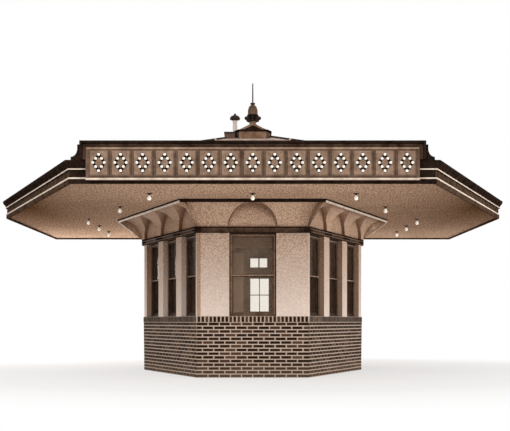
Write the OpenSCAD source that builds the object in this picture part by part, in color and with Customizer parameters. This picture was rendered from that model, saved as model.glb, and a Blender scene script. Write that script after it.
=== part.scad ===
// Filling station canopy: a small nose-shaped kiosk that carries a wide cantilevered
// canopy with a coved, groined underside, a mitred cornice, a sign board and a low roof.
// Millimetres. +X right, +Y to the back, +Z up, origin on the ground under the centre.

/* [Kiosk plan] */
// Width of the front wall
front_w = 2160; // [1900:10:2600]
// Angle of the slanted walls, from the line of the front wall
nose_angle = 68.43; // [64:0.01:74]
// Width of every window opening
window_w = 910; // [800:10:980]
// Width of the piers between the windows of a slanted wall
pier_w = 350; // [250:10:500]
// Width of the post beside the front corner, on the slanted wall
corner_post = 70; // [50:5:140]
// Width of the post at the far end of a slanted wall
end_post = 200; // [150:10:400]
// Width of the posts in a side wall
side_post = 360; // [250:10:500]
// Thickness of the walls
wall_t = 220; // [180:5:280]

/* [Kiosk heights] */
// Thickness of the floor slab
floor_t = 60; // [40:5:120]
// Height of the stretcher brickwork, up to the sill course
dado_h = 1074; // [900:2:1200]
// Height of the sill course of bricks on edge
sill_h = 116; // [80:2:140]
// How far the sill course stands proud of the wall
sill_proj = 15; // [5:1:40]
// Height of the window openings, sill to head
window_h = 1610; // [1400:10:1800]
// Height of the impost band
band_h = 120; // [90:2:160]
// How far the impost band stands proud of the wall
band_proj = 30; // [15:1:45]
// How far the pier capitals stand proud of the impost band
capital_proj = 25; // [10:1:45]
// How much wider a capital is than its pier, each side
capital_lap = 15; // [5:1:20]

/* [Cove] */
// Height of the cove, from the band to the flat soffit
cove_h = 494; // [480:2:560]
// Run of the cove along the front, slanted and rear walls
cove_run = 420; // [380:5:520]
// Run of the cove along the side walls
cove_run_side = 610; // [480:5:700]
// How much wider a lunette's radius is than half a window
lunette_lap = 15; // [0:1:20]
// Depth of the flat face of a lunette behind the face of the wall
lunette_in = 10; // [4:1:30]
// Thickness of the cove's plaster where it meets the soffit
cove_lip = 12; // [6:1:20]
// Depth of the rim board that hangs where the cove meets the soffit
bead_h = 64; // [40:1:100]
// Width of that rim board
bead_w = 34; // [20:1:60]

/* [Canopy] */
// Overhang of the canopy past the front wall
over_front = 2960; // [2400:10:3300]
// Overhang past the slanted walls
over_nose = 2910; // [2400:10:3300]
// Overhang past the side walls
over_side = 3040; // [2400:10:3300]
// Overhang past the rear wall
over_rear = 2950; // [2400:10:3300]
// Thickness of the soffit boards
soffit_t = 36; // [20:1:60]
// Height of the frieze above the soffit boards
frieze_h = 150; // [100:5:220]
// Thickness of the frieze boards
frieze_t = 100; // [60:5:160]
// Height of the cornice
cornice_h = 160; // [120:5:220]
// How far the cornice stands proud of the frieze
cornice_proj = 90; // [60:2:140]
// Height of the moulding at the foot of the frieze
foot_h = 51; // [40:1:70]
// How far that moulding stands proud
foot_proj = 18; // [10:1:30]
// How far it hangs below the soffit, as a drip
foot_drop = 40; // [20:1:60]
// How far the drip reaches back under the soffit
foot_back = 22; // [15:1:40]

/* [Roof] */
// Rise of the roof, from the eaves to the cupola
roof_rise = 1050; // [900:10:1200]
// Thickness of the roof slopes
roof_t = 35; // [25:1:60]
// Radius of the rolls along the hips
hip_r = 32; // [20:1:50]
// Half width of the cupola's front face
cupola_front = 270; // [200:5:290]
// Half width of the cupola
cupola_half = 350; // [320:5:420]
// Depth of the cupola's front face behind the front wall
cupola_y = 400; // [250:10:550]
// Length of the cupola, front to back
cupola_l = 1300; // [1100:10:1500]
// How far behind the front wall the roof's front slope ends, under the cupola
hub_y = 800; // [650:10:1000]
// How far behind the front wall the finial stands
finial_y = 1250; // [1000:10:1400]
// Height of the cupola's curb above the roof
curb_h = 20; // [10:5:100]
// Thickness of the curb's boards
curb_t = 30; // [20:1:45]
// Height of the cupola's small cornice
curb_cornice_h = 40; // [30:1:70]
// How far that cornice stands proud
curb_cornice_proj = 26; // [15:1:50]
// Height of the cupola's swept cap
cap_h = 300; // [220:5:360]
// Height of the finial's rod above its bell
rod_h = 390; // [250:10:600]

/* [Sign] */
// Width of the sign board
sign_w = 5510; // [4800:10:5600]
// Height of the sign board
sign_h = 545; // [460:5:620]
// How far the sign board stands proud of the frieze
sign_proj = 120; // [105:1:180]
// Height of the sign board's lower edge above the soffit
sign_lift = 10; // [0:1:30]
// Height of the crown on the sign board
crown_h = 91; // [70:1:120]
// How far the crown stands proud of the board
crown_proj = 100; // [60:1:130]
// Width of the scroll console at each end of the board
console_w = 255; // [200:5:260]
// Number of lamp panels on the board
panels = 15; // [9:1:16]
// Width of a lamp panel
panel_w = 290; // [200:5:290]
// Height of a lamp panel
panel_h = 396; // [300:2:400]
// How far a lamp panel stands proud of the board
panel_proj = 24; // [15:1:40]

/* [Door] */
// Width of the door opening
door_w = 800; // [740:10:950]
// Distance of the door's centre from the centre line
door_x = 170; // [-200:10:200]
// Height of the door leaf
leaf_h = 2200; // [2000:10:2250]
// Gap round the door leaf
door_gap = 6; // [5:0.5:10]
// Thickness of the door leaf
leaf_t = 45; // [38:1:55]
// Width of the leaf's stiles
stile_w = 125; // [90:5:150]

/* [Joinery] */
// Gap between a window's frame and the wall, each side
frame_fit = 0.1; // [0.1:0.1:2]
// Joint left between the floor slab and the walls
floor_fit = 0.2; // [0.1:0.1:2]
// Joint left at each side of a mitre between two pieces of wall
mitre_gap = 0.1; // [0.1:0.1:1]
// Depth of the window frames
frame_d = 90; // [70:1:100]
// Width of the window frames
frame_w = 40; // [30:1:60]
// Depth of the reveal outside a window frame
reveal_d = 105; // [60:1:120]
// Width of the sash bars
sash_w = 38; // [28:1:50]
// Thickness of the sashes
sash_t = 36; // [28:1:40]
// Thickness of the glass
glass_t = 4; // [3:0.5:8]

/* [Lamps] */
// Distance of the front lamps ahead of the front wall
lamp_front = 1310; // [1000:10:1700]
// Distance between the front lamps
lamp_pitch = 1875; // [1500:5:2200]
// Distance of the side lamps out from the side walls
lamp_side = 1290; // [1000:10:1600]
// How far the two lamps beside the slanted walls stand from the middle
lamp_corner_x = 2690; // [2400:10:3000]
// How far back from the front wall those two stand
lamp_corner_y = 990; // [600:10:1400]
// How far back from the front wall the first lamp of each side row stands
lamp_row_y = 3650; // [3300:10:4000]
// Distance between the lamps of a side row
lamp_row_pitch = 1715; // [1400:5:1900]
// Radius of a lamp's ceiling plate
plate_r = 62; // [40:1:80]
// Radius of a lamp's bulb
bulb_r = 37; // [28:1:45]

/* [Hidden] */

// Sides are numbered 0 front, 1 right slant, 2 right side, 3 rear, 4 left side, 5 left slant
turn = [0, nose_angle, 90, 180, 270, -nose_angle];
nose_c = cos(nose_angle);
nose_s = sin(nose_angle);
half_front = front_w / 2;
nose_l = corner_post + 3 * window_w + 2 * pier_w + end_post;
half_w = half_front + nose_l * nose_c;
side_l = 3 * side_post + 2 * window_w;
body_d = nose_l * nose_s + side_l;
kiosk = [half_front, half_w, 0, body_d];
cupola = [cupola_front, cupola_half, cupola_y, cupola_y + cupola_l];

sill_z = dado_h + sill_h;
head_z = sill_z + window_h;
spring_z = head_z + band_h;
soffit_z = spring_z + cove_h;
frieze_z = soffit_z + soffit_t;
cornice_z = frieze_z + frieze_h;
eaves_z = cornice_z + cornice_h;
hub_z = eaves_z + roof_rise;
curb_z = hub_z + curb_h;
cap_z = curb_z + curb_cornice_h;
finial_z = cap_z + cap_h;
sign_z = soffit_z + sign_lift;
crown_z = sign_z + sign_h;

canopy = [over_front, over_nose, over_side, over_rear];
cove_out = [cove_run, cove_run, cove_run_side, cove_run];
side_runs = [cove_run, cove_run, cove_run_side, cove_run, cove_run_side, cove_run];
front_most = over_front + sign_proj + crown_proj;
rear_most = body_d + over_rear + cornice_proj;
shift_y = (front_most - rear_most) / 2;
cut = 5;

// Corners of a plan of the kiosk's kind, with each of its sides pushed out by its own
// distance in out = [front, slant, side, rear]
function plan(base, out) =
  let (front_x = base[0] + (out[1] - out[0] * nose_c) / nose_s)
  let (side_x = base[1] + out[2])
  let (run = (side_x - base[0] - out[1] * nose_s) / nose_c)
  let (side_y = base[2] + run * nose_s - out[1] * nose_c)
  let (front_y = base[2] - out[0])
  let (rear_y = base[3] + out[3])
  [[-front_x, front_y], [front_x, front_y], [side_x, side_y],
   [side_x, rear_y], [-side_x, rear_y], [-side_x, side_y]];
function even(d) = [d, d, d, d];
function further(out, d) = [for (v = out) v + d];
function along(i) = [cos(turn[i]), sin(turn[i])];
function inward(i) = [-sin(turn[i]), cos(turn[i])];
function lift(points, z) = [for (p = points) [p[0], p[1], z]];

walls = plan(kiosk, even(0));
rooms = plan(kiosk, even(-wall_t));
side_len = [front_w, nose_l, side_l, 2 * half_w, side_l, nose_l];

// Start of each window along its side
door_u = half_w - door_x - door_w / 2;
nose_pitch = window_w + pier_w;
rear_gap_a = (door_u - window_w) / 2;
rear_gap_b = (2 * half_w - door_u - door_w - window_w) / 2;
window_starts = [
  [half_front - window_w / 2],
  [for (k = [0:2]) corner_post + k * nose_pitch],
  [for (k = [0:1]) side_post + k * (window_w + side_post)],
  [rear_gap_a, door_u + door_w + rear_gap_b],
  [for (k = [0:1]) side_post + k * (window_w + side_post)],
  [for (k = [0:2]) end_post + k * nose_pitch]
];

// Moves its children to the start of a side: x runs along it and y goes inward
module on_side(i) {
  translate([walls[i][0], walls[i][1], 0])
    rotate([0, 0, turn[i]])
      children();
}

// Puts the kiosk's plan, which starts at the front wall, round the origin
module place() {
  translate([0, shift_y, 0]) children();
}

// Closed hoop through rings of corner points, which joins the last ring to the first
module hoop(rings) {
  n = len(rings[0]);
  m = len(rings);
  points = [for (ring = rings) for (p = ring) p];
  faces = [for (j = [0:m - 1]) for (i = [0:n - 1])
    [j * n + i, ((j + 1) % m) * n + i, ((j + 1) % m) * n + (i + 1) % n, j * n + (i + 1) % n]];
  polyhedron(points, faces, convexity = 6);
}

// Solid through rings of corner points, closed at its foot and top
module stack(rings) {
  n = len(rings[0]);
  m = len(rings);
  points = [for (ring = rings) for (p = ring) p];
  sides = [for (j = [0:m - 2]) for (i = [0:n - 1])
    [j * n + i, (j + 1) * n + i, (j + 1) * n + (i + 1) % n, j * n + (i + 1) % n]];
  foot = [for (i = [0:n - 1]) i];
  top = [for (i = [n - 1:-1:0]) (m - 1) * n + i];
  polyhedron(points, concat(sides, [foot], [top]), convexity = 6);
}

// Mitred moulding round a plan: profile points are [distance out, height]
module moulding(base, out, profile) {
  hoop([for (p = profile) lift(plan(base, further(out, p[0])), p[1])]);
}

// Straight wall piece of side i, from start to start + length, with square ends
module pier(i, start, length, z0, z1) {
  on_side(i)
    translate([start, 0, z0])
      cube([length, wall_t, z1 - z0]);
}

// Wall piece round corner i: before and after are its lengths on the two sides
module corner_piece(i, before, after, proud, deep, z0, z1) {
  h = (i + 5) % 6;
  outer = plan(kiosk, even(proud))[i];
  inner = plan(kiosk, even(-deep))[i];
  start = walls[i] - before * along(h);
  end = walls[i] + after * along(i);
  translate([0, 0, z0])
    linear_extrude(height = z1 - z0)
      polygon([start - proud * inward(h), outer, end - proud * inward(i),
               end + deep * inward(i), inner, start + deep * inward(h)]);
}

module floor() {
  color("darkgray") place() {
    linear_extrude(height = floor_t) polygon(plan(kiosk, even(-wall_t - floor_fit)));
    on_side(3) translate([door_u, 0, 0]) cube([door_w, wall_t + floor_fit + cut, floor_t]);
  }
}

// Points of a cross section of side i, at a distance along it: profile points are
// [distance out, height], and a section at either end of the side lies along its mitre
function section(i, u, profile) = [for (p = profile)
  let (line = plan(kiosk, even(p[0])))
  let (q = u == 0 ? line[i] + mitre_gap * along(i)
         : u == side_len[i] ? line[(i + 1) % 6] - mitre_gap * along(i)
         : walls[i] + u * along(i) - p[0] * inward(i))
  [q[0], q[1], p[1]]];

// Brick dado of side i between two distances along it, with its sill course standing proud
module dado(i, start, end) {
  profile = [[0, 0], [-wall_t, 0], [-wall_t, sill_z], [sill_proj, sill_z],
             [sill_proj, dado_h], [0, dado_h]];
  color([0.36, 0.25, 0.2]) place()
    stack([section(i, start, profile), section(i, end, profile)]);
}

module dado_front() { dado(0, 0, side_len[0]); }
module dado_nose_right() { dado(1, 0, side_len[1]); }
module dado_side_right() { dado(2, 0, side_len[2]); }
module dado_rear_right() { dado(3, 0, door_u); }
module dado_rear_left() { dado(3, door_u + door_w, side_len[3]); }
module dado_side_left() { dado(4, 0, side_len[4]); }
module dado_nose_left() { dado(5, 0, side_len[5]); }

// Length of stucco wall beside the front window
front_panel = half_front - window_w / 2;

module piers_front() {
  color([0.86, 0.8, 0.7]) place() {
    corner_piece(0, corner_post, front_panel, 0, wall_t, sill_z, head_z);
    corner_piece(1, front_panel, corner_post, 0, wall_t, sill_z, head_z);
  }
}

module piers_right() {
  color([0.86, 0.8, 0.7]) place() {
    for (k = [0:1])
      pier(1, window_starts[1][k] + window_w, pier_w, sill_z, head_z);
    corner_piece(2, end_post, side_post, 0, wall_t, sill_z, head_z);
    pier(2, side_post + window_w, side_post, sill_z, head_z);
  }
}

module piers_left() {
  color([0.86, 0.8, 0.7]) place() {
    for (k = [0:1])
      pier(5, window_starts[5][k] + window_w, pier_w, sill_z, head_z);
    corner_piece(5, side_post, end_post, 0, wall_t, sill_z, head_z);
    pier(4, side_post + window_w, side_post, sill_z, head_z);
  }
}

module piers_rear() {
  color([0.86, 0.8, 0.7]) place() {
    corner_piece(3, side_post, rear_gap_a, 0, wall_t, sill_z, head_z);
    pier(3, door_u - rear_gap_a, rear_gap_a, sill_z, head_z);
    pier(3, door_u + door_w, rear_gap_b, sill_z, head_z);
    corner_piece(4, rear_gap_b, side_post, 0, wall_t, sill_z, head_z);
  }
}

module impost_band() {
  proud = band_proj + capital_proj;
  module capital(i, start, length) {
    on_side(i) translate([start - capital_lap, -proud, head_z])
      cube([length + 2 * capital_lap, proud, band_h]);
  }
  color([0.2, 0.15, 0.12]) place() {
    moulding(kiosk, even(0), [
      [-wall_t, head_z], [band_proj / 2, head_z],
      [band_proj / 2, head_z + band_h * 0.4], [band_proj, head_z + band_h * 0.48],
      [band_proj, spring_z], [-wall_t, spring_z]
    ]);
    for (k = [0:1]) {
      capital(1, window_starts[1][k] + window_w, pier_w);
      capital(5, window_starts[5][k] + window_w, pier_w);
    }
    for (i = [2, 4]) capital(i, side_post + window_w, side_post);
    capital(3, door_u - rear_gap_a, rear_gap_a);
    capital(3, door_u + door_w, rear_gap_b);
    lap = capital_lap;
    corner_piece(0, corner_post + lap, corner_post + lap, proud, 0, head_z, spring_z);
    corner_piece(1, corner_post + lap, corner_post + lap, proud, 0, head_z, spring_z);
    corner_piece(2, end_post + lap, end_post + lap, proud, 0, head_z, spring_z);
    corner_piece(5, end_post + lap, end_post + lap, proud, 0, head_z, spring_z);
    corner_piece(3, side_post + lap, side_post + lap, proud, 0, head_z, spring_z);
    corner_piece(4, side_post + lap, side_post + lap, proud, 0, head_z, spring_z);
  }
}

// Cove of side i: the wall over the band and the plaster that sweeps out to the soffit,
// with a round-headed lunette cut through the sweep over each window
module cove(i) {
  line = plan(kiosk, cove_out);
  run = side_runs[i];
  rise = cove_h - cove_lip;
  steps = 20;
  sweep = [for (k = [steps:-1:1]) [run - run * cos(90 * k / steps), spring_z + rise * sin(90 * k / steps)]];
  profile = concat([[0, spring_z], [-wall_t, spring_z], [-wall_t, soffit_z], [run, soffit_z]], sweep);
  function mitred(j) = [for (p = profile)
    let (q = rooms[j] + (p[0] + wall_t) / (run + wall_t) * (line[j] - rooms[j])
             + (j == i ? mitre_gap : -mitre_gap) * along(i))
    [q[0], q[1], p[1]]];
  middles = [for (start = window_starts[i]) start + window_w / 2];
  color([0.74, 0.62, 0.5]) place()
    difference() {
      stack([mitred(i), mitred((i + 1) % 6)]);
      on_side(i)
        for (u = i == 3 ? concat(middles, [door_u + door_w / 2]) : middles)
          translate([u, lunette_in, spring_z])
            rotate([90, 90, 0])
              cylinder(r = window_w / 2 + lunette_lap, h = run + 2 * lunette_in, $fn = 64);
    }
}

module cove_front() { cove(0); }
module cove_nose_right() { cove(1); }
module cove_side_right() { cove(2); }
module cove_rear() { cove(3); }
module cove_side_left() { cove(4); }
module cove_nose_left() { cove(5); }

module cove_bead() {
  color([0.88, 0.82, 0.72]) place()
    moulding(kiosk, cove_out, [
      [0, soffit_z - bead_h], [bead_w * 0.7, soffit_z - bead_h],
      [bead_w, soffit_z - bead_h + bead_w * 0.4], [bead_w, soffit_z], [0, soffit_z]
    ]);
}

// Frame of a window with an upper sash outside and a lower sash inside it
module window(opening_w) {
  w = opening_w - 2 * frame_fit;
  mid = window_h * 0.495;
  translate([frame_fit, reveal_d, sill_z]) {
    difference() {
      cube([w, frame_d, window_h]);
      translate([frame_w, -cut, frame_w])
        cube([w - 2 * frame_w, frame_d + 2 * cut, window_h - 2 * frame_w]);
    }
    sash(w, sash_t * 0.15, mid - sash_w / 2, window_h - frame_w);
    sash(w, sash_t * 1.15, frame_w, mid + sash_w / 2);
  }
}

module sash(w, y, z0, z1) {
  translate([frame_w, y, z0])
    difference() {
      cube([w - 2 * frame_w, sash_t, z1 - z0]);
      translate([sash_w, -cut, sash_w])
        cube([w - 2 * frame_w - 2 * sash_w, sash_t + 2 * cut, z1 - z0 - 2 * sash_w]);
    }
}

module panes(opening_w) {
  w = opening_w - 2 * frame_fit;
  mid = window_h * 0.495;
  module pane(y, z0, z1) {
    translate([frame_fit + frame_w + sash_w, reveal_d + y + (sash_t - glass_t) / 2, sill_z + z0 + sash_w])
      cube([w - 2 * frame_w - 2 * sash_w, glass_t, z1 - z0 - 2 * sash_w]);
  }
  pane(sash_t * 0.15, mid - sash_w / 2, window_h - frame_w);
  pane(sash_t * 1.15, frame_w, mid + sash_w / 2);
}

module windows_of(sides) {
  color([0.24, 0.17, 0.13]) place()
    for (i = sides) for (start = window_starts[i])
      on_side(i) translate([start, 0, 0]) window(window_w);
}

module glass_of(sides) {
  color([0.6, 0.66, 0.66, 0.5]) place()
    for (i = sides) for (start = window_starts[i])
      on_side(i) translate([start, 0, 0]) panes(window_w);
}

module window_front() { windows_of([0]); }
module windows_right() { windows_of([1, 2]); }
module windows_rear() { windows_of([3]); }
module windows_left() { windows_of([4, 5]); }
module glass_front() { glass_of([0]); }
module glass_right() { glass_of([1, 2]); }
module glass_rear() { glass_of([3]); }
module glass_left() { glass_of([4, 5]); }

// Door values, in the rear wall's own frame: y goes inward
leaf_z = floor_t + door_gap;
leaf_w = door_w - 2 * frame_w - 2 * door_gap;
leaf_y = wall_t - leaf_t;
transom_z = leaf_z + leaf_h + door_gap;
transom_h = 60;
stop_t = 20;
stop_w = 12;
hinge_r = 9;
hinge_x = frame_w + door_gap / 2;
hinge_y = wall_t + hinge_r;
hinge_levels = [250, leaf_h / 2, leaf_h - 250];
knuckle_h = 50;
knuckle_gap = 0.4;
hinge_leaf = 30;
plate_t = 3;

module door_frame() {
  depth = wall_t - reveal_d;
  color([0.24, 0.17, 0.13]) place()
    on_side(3) translate([door_u, 0, 0]) {
      difference() {
        translate([0, reveal_d, floor_t]) cube([door_w, depth, head_z - floor_t]);
        translate([frame_w, reveal_d - cut, floor_t - cut])
          cube([door_w - 2 * frame_w, depth + 2 * cut, transom_z - floor_t + cut]);
        translate([frame_w, reveal_d - cut, transom_z + transom_h])
          cube([door_w - 2 * frame_w, depth + 2 * cut, head_z - frame_w - transom_z - transom_h]);
      }
      stop_y = leaf_y - door_gap - stop_t;
      for (x = [frame_w, door_w - frame_w - stop_w])
        translate([x, stop_y, floor_t]) cube([stop_w, stop_t, transom_z - floor_t]);
      translate([frame_w, stop_y, transom_z - stop_w])
        cube([door_w - 2 * frame_w, stop_t, stop_w]);
      for (z = hinge_levels) {
        translate([hinge_x, hinge_y, leaf_z + z - knuckle_h]) cylinder(r = hinge_r, h = knuckle_h, $fn = 32);
        translate([hinge_x - hinge_leaf, wall_t, leaf_z + z - knuckle_h])
          cube([hinge_leaf, plate_t, knuckle_h]);
      }
    }
}

module transom_glass() {
  color([0.6, 0.66, 0.66, 0.5]) place()
    on_side(3)
      translate([door_u + frame_w, reveal_d + 40, transom_z + transom_h])
        cube([door_w - 2 * frame_w, glass_t, head_z - frame_w - transom_z - transom_h]);
}

// Glazed part of the leaf: two panes wide and two high, over a panelled foot
bar_w = 20;
lock_z = 1270;
top_rail = 110;
light_w = (leaf_w - 2 * stile_w - bar_w) / 2;
light_h = (leaf_h - lock_z - top_rail - bar_w) / 2;

module lights(depth, y) {
  for (a = [0:1]) for (b = [0:1])
    translate([stile_w + a * (light_w + bar_w), y, lock_z + b * (light_h + bar_w)])
      cube([light_w, depth, light_h]);
}

module in_door() {
  on_side(3) translate([door_u + frame_w + door_gap, leaf_y, leaf_z]) children();
}

module door_leaf() {
  panel_d = 12;
  panel_z = 200;
  panel_top = lock_z - 180;
  color([0.26, 0.18, 0.14]) place()
    in_door() {
      difference() {
        cube([leaf_w, leaf_t, leaf_h]);
        lights(leaf_t + 2 * cut, -cut);
        for (y = [-cut, leaf_t - panel_d])
          translate([stile_w, y, panel_z])
            cube([leaf_w - 2 * stile_w, panel_d + cut, panel_top - panel_z]);
      }
      for (z = hinge_levels) {
        translate([-door_gap / 2, leaf_t + hinge_r, z + knuckle_gap])
          cylinder(r = hinge_r, h = knuckle_h, $fn = 32);
        translate([-door_gap / 2, leaf_t, z + knuckle_gap]) cube([hinge_leaf, plate_t, knuckle_h]);
      }
    }
}

module door_glass() {
  color([0.6, 0.66, 0.66, 0.5]) place()
    in_door() lights(glass_t, (leaf_t - glass_t) / 2);
}

module door_knobs() {
  knob_r = 27;
  knob_z = 1000;
  module knob() {
    rotate_extrude($fn = 32)
      polygon([[0, 0], [26, 0], [26, 3], [11, 6], [10, 22], [20, 28], [knob_r, 36],
               [knob_r, 42], [20, 50], [0, 53]]);
  }
  color("goldenrod") place()
    in_door() {
      translate([leaf_w - stile_w / 2, 0, knob_z]) rotate([90, 0, 0]) knob();
      translate([leaf_w - stile_w / 2, leaf_t, knob_z]) rotate([-90, 0, 0]) knob();
    }
}

module soffit() {
  color([0.7, 0.57, 0.46]) place()
    translate([0, 0, soffit_z])
      linear_extrude(height = soffit_t) polygon(plan(kiosk, canopy));
}

// Space that the sign board fills, which interrupts the mouldings behind it
module sign_space(grow = 0) {
  translate([-sign_w / 2 - grow, -over_front - sign_proj - grow, sign_z])
    cube([sign_w + 2 * grow, sign_proj + grow, sign_h]);
}

module foot_moulding() {
  color([0.2, 0.15, 0.12]) place()
    difference() {
      moulding(kiosk, canopy, [
        [-foot_back, soffit_z - foot_drop], [foot_proj * 0.5, soffit_z - foot_drop],
        [foot_proj, soffit_z - foot_drop * 0.6], [foot_proj, soffit_z + foot_h * 0.75],
        [foot_proj * 0.5, soffit_z + foot_h], [0, soffit_z + foot_h], [0, soffit_z],
        [-foot_back, soffit_z]
      ]);
      sign_space();
    }
}

module frieze() {
  color([0.2, 0.15, 0.12]) place()
    moulding(kiosk, canopy, [
      [-frieze_t, frieze_z], [0, frieze_z], [0, cornice_z], [-frieze_t, cornice_z]
    ]);
}

module cornice() {
  fillet = 28;
  // Cyma: hollow below and round above, between the fillet and the top edge
  rise = cornice_h - 2 * fillet;
  go = cornice_proj - fillet;
  wave = [for (k = [0:8]) [fillet + go * (k / 8 - sin(360 * k / 8) / 12),
                           cornice_z + fillet + rise * k / 8]];
  color([0.2, 0.15, 0.12]) place()
    difference() {
      moulding(kiosk, canopy, concat(
        [[-frieze_t, cornice_z], [fillet, cornice_z]], wave,
        [[cornice_proj, eaves_z], [0, eaves_z], [0, eaves_z - roof_t], [-frieze_t, eaves_z - roof_t]]
      ));
      sign_space();
    }
}

eaves = plan(kiosk, canopy);
hub = plan([cupola_front, cupola_half, hub_y, cupola_y + cupola_l], even(-curb_t));

module roof_form() {
  hoop([lift(eaves, eaves_z - roof_t), lift(eaves, eaves_z),
        lift(hub, hub_z), lift(hub, hub_z - roof_t)]);
}

// Everything under the roof's surface
module attic() {
  stack([lift(eaves, eaves_z - roof_t), lift(eaves, eaves_z), lift(hub, hub_z)]);
}

module roof() {
  color([0.82, 0.75, 0.7]) place() roof_form();
}

vent_w = 205;
vent_l = 350;
vent_x = -cupola_half - vent_w;
vent_y = cupola_y + 20;

// Space that the cupola and the vent box take up on the roof
module on_roof(grow) {
  translate([0, 0, eaves_z]) {
    linear_extrude(height = curb_z - eaves_z) polygon(plan(cupola, even(grow)));
    translate([vent_x - grow, vent_y - grow, 0])
      cube([vent_w + 2 * grow, vent_l + 2 * grow, curb_z - eaves_z]);
  }
}

module hip_rolls() {
  short = 60;
  clear = 1;
  color([0.25, 0.2, 0.17]) place()
    difference() {
      for (i = [0:5]) {
        a = [eaves[i][0], eaves[i][1], eaves_z];
        b = [hub[i][0], hub[i][1], hub_z];
        d = b - a;
        translate(a)
          rotate([0, acos(d[2] / norm(d)), atan2(d[1], d[0])])
            translate([0, 0, short])
              cylinder(r = hip_r, h = norm(d) - 2 * short, $fn = 20);
      }
      roof_form();
      on_roof(clear);
    }
}

// Low walls of the cupola, which stand on the slopes round the hub
module cupola_curb() {
  color([0.45, 0.34, 0.26]) place()
    difference() {
      moulding(cupola, even(0), [
        [-curb_t, eaves_z], [0, eaves_z], [0, curb_z], [-curb_t, curb_z]
      ]);
      attic();
    }
}

// Swept cap over the curb's cornice, with a gable in front whose raking bands stand proud
module cupola_cap() {
  middle = [0, finial_y];
  edge = plan(cupola, even(curb_cornice_proj));
  foot_k = 0.94;
  neck_k = 0.14;
  steps = 8;
  function swept(k) = [for (p = edge) middle + (p - middle) * (foot_k - (foot_k - neck_k) * k)];
  function climb(k) = (1 - sqrt(1 - 0.96 * k * k)) / 0.8;
  gable_w = 2 * cupola_front;
  gable_h = 125;
  gable_d = 560;
  band = 30;
  band_proj = 12;
  sunk = 10;
  color([0.62, 0.56, 0.5]) place() {
    stack(concat(
      [lift(plan(cupola, even(0)), curb_z)],
      [lift(edge, curb_z + curb_cornice_h * 0.4)],
      [lift(edge, cap_z)],
      [for (k = [0:steps]) lift(swept(k / steps), cap_z + cap_h * climb(k / steps))]
    ));
    translate([0, cupola_y + gable_d, cap_z - sunk]) rotate([90, 0, 0]) {
      linear_extrude(height = gable_d)
        polygon([[-gable_w / 2, 0], [gable_w / 2, 0], [0, gable_h + sunk]]);
      linear_extrude(height = gable_d + band_proj)
        polygon([[-gable_w / 2 - band / 2, 0], [-gable_w / 2 + band * 2, 0], [0, gable_h - band],
                 [gable_w / 2 - band * 2, 0], [gable_w / 2 + band / 2, 0], [0, gable_h + sunk + band / 3]]);
    }
  }
}

// Turned bell and rod on a ring of scroll brackets
module finial() {
  brackets = 8;
  bracket_t = 20;
  scroll_r = 38;
  core_r = 72;
  bell_r = 100;
  bell_z = 150;
  rod_z = bell_z + 252;
  color([0.25, 0.2, 0.17]) place()
    translate([0, finial_y, finial_z]) {
      rotate_extrude($fn = 40)
        polygon([[0, 0], [60, 0], [60, 12], [core_r, 24], [core_r - 12, 60], [core_r - 12, 120],
                 [core_r, bell_z - 20], [bell_r + 16, bell_z - 14], [bell_r + 16, bell_z - 2],
                 [bell_r, bell_z + 10], [bell_r, bell_z + 90], [80, bell_z + 160], [48, bell_z + 195],
                 [24, bell_z + 205], [50, bell_z + 218], [50, bell_z + 240], [14, rod_z],
                 [11, rod_z + rod_h], [0, rod_z + rod_h + 8]]);
      for (k = [0:brackets - 1])
        rotate([0, 0, 360 * k / brackets])
          translate([0, bracket_t / 2, 0])
            rotate([90, 0, 0])
              linear_extrude(height = bracket_t) {
                translate([170 - scroll_r, 82]) circle(r = scroll_r, $fn = 32);
                translate([core_r + 36, 30]) circle(r = scroll_r * 0.6, $fn = 32);
                polygon([[40, 20], [core_r + 36, 12], [140, 60], [120, 118], [40, bell_z - 16]]);
              }
    }
}

// Flue behind the cupola, and the vent box with its lid beside the cupola
module vent_pipe() {
  lid_t = 30;
  lid_lap = 10;
  flue_r = 48;
  flue_x = -376;
  flue_y = cupola_y + cupola_l + 300;
  cowl_z = 590;
  color([0.7, 0.66, 0.62]) place()
    difference() {
      union() {
        translate([vent_x, vent_y, eaves_z]) cube([vent_w, vent_l, curb_z - eaves_z - lid_t / 2]);
        translate([vent_x - lid_lap, vent_y - lid_lap, curb_z - lid_t])
          cube([vent_w + lid_lap, vent_l + 2 * lid_lap, lid_t]);
        translate([flue_x, flue_y, hub_z - 60])
          rotate_extrude($fn = 32)
            polygon([[0, 0], [flue_r, 0], [flue_r, cowl_z], [105, cowl_z + 22], [110, cowl_z + 52],
                     [84, cowl_z + 92], [32, cowl_z + 118], [12, cowl_z + 150], [0, cowl_z + 158]]);
      }
      attic();
    }
}

module sign_board() {
  color([0.24, 0.17, 0.13]) place() sign_space();
}

// Moulding up one end of the board, over its top and down the other end, mitred at the corners
module sign_crown() {
  quirk = 8;
  // Profile points are [distance out from the board's edge, distance forward of its face]
  profile = [
    [crown_h, -sign_proj], [crown_h, crown_proj], [58, crown_proj], [52, crown_proj * 0.8],
    [38, crown_proj * 0.45], [20, crown_proj * 0.3], [12, quirk], [0, quirk], [0, -sign_proj]
  ];
  function foot(side) = [for (p = profile)
    [side * (sign_w / 2 + p[0]), -over_front - sign_proj - p[1], eaves_z]];
  function corner(side) = [for (p = profile)
    [side * (sign_w / 2 + p[0]), -over_front - sign_proj - p[1], crown_z + p[0]]];
  color([0.2, 0.15, 0.12]) place()
    stack([foot(-1), corner(-1), corner(1), foot(1)]);
}

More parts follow.
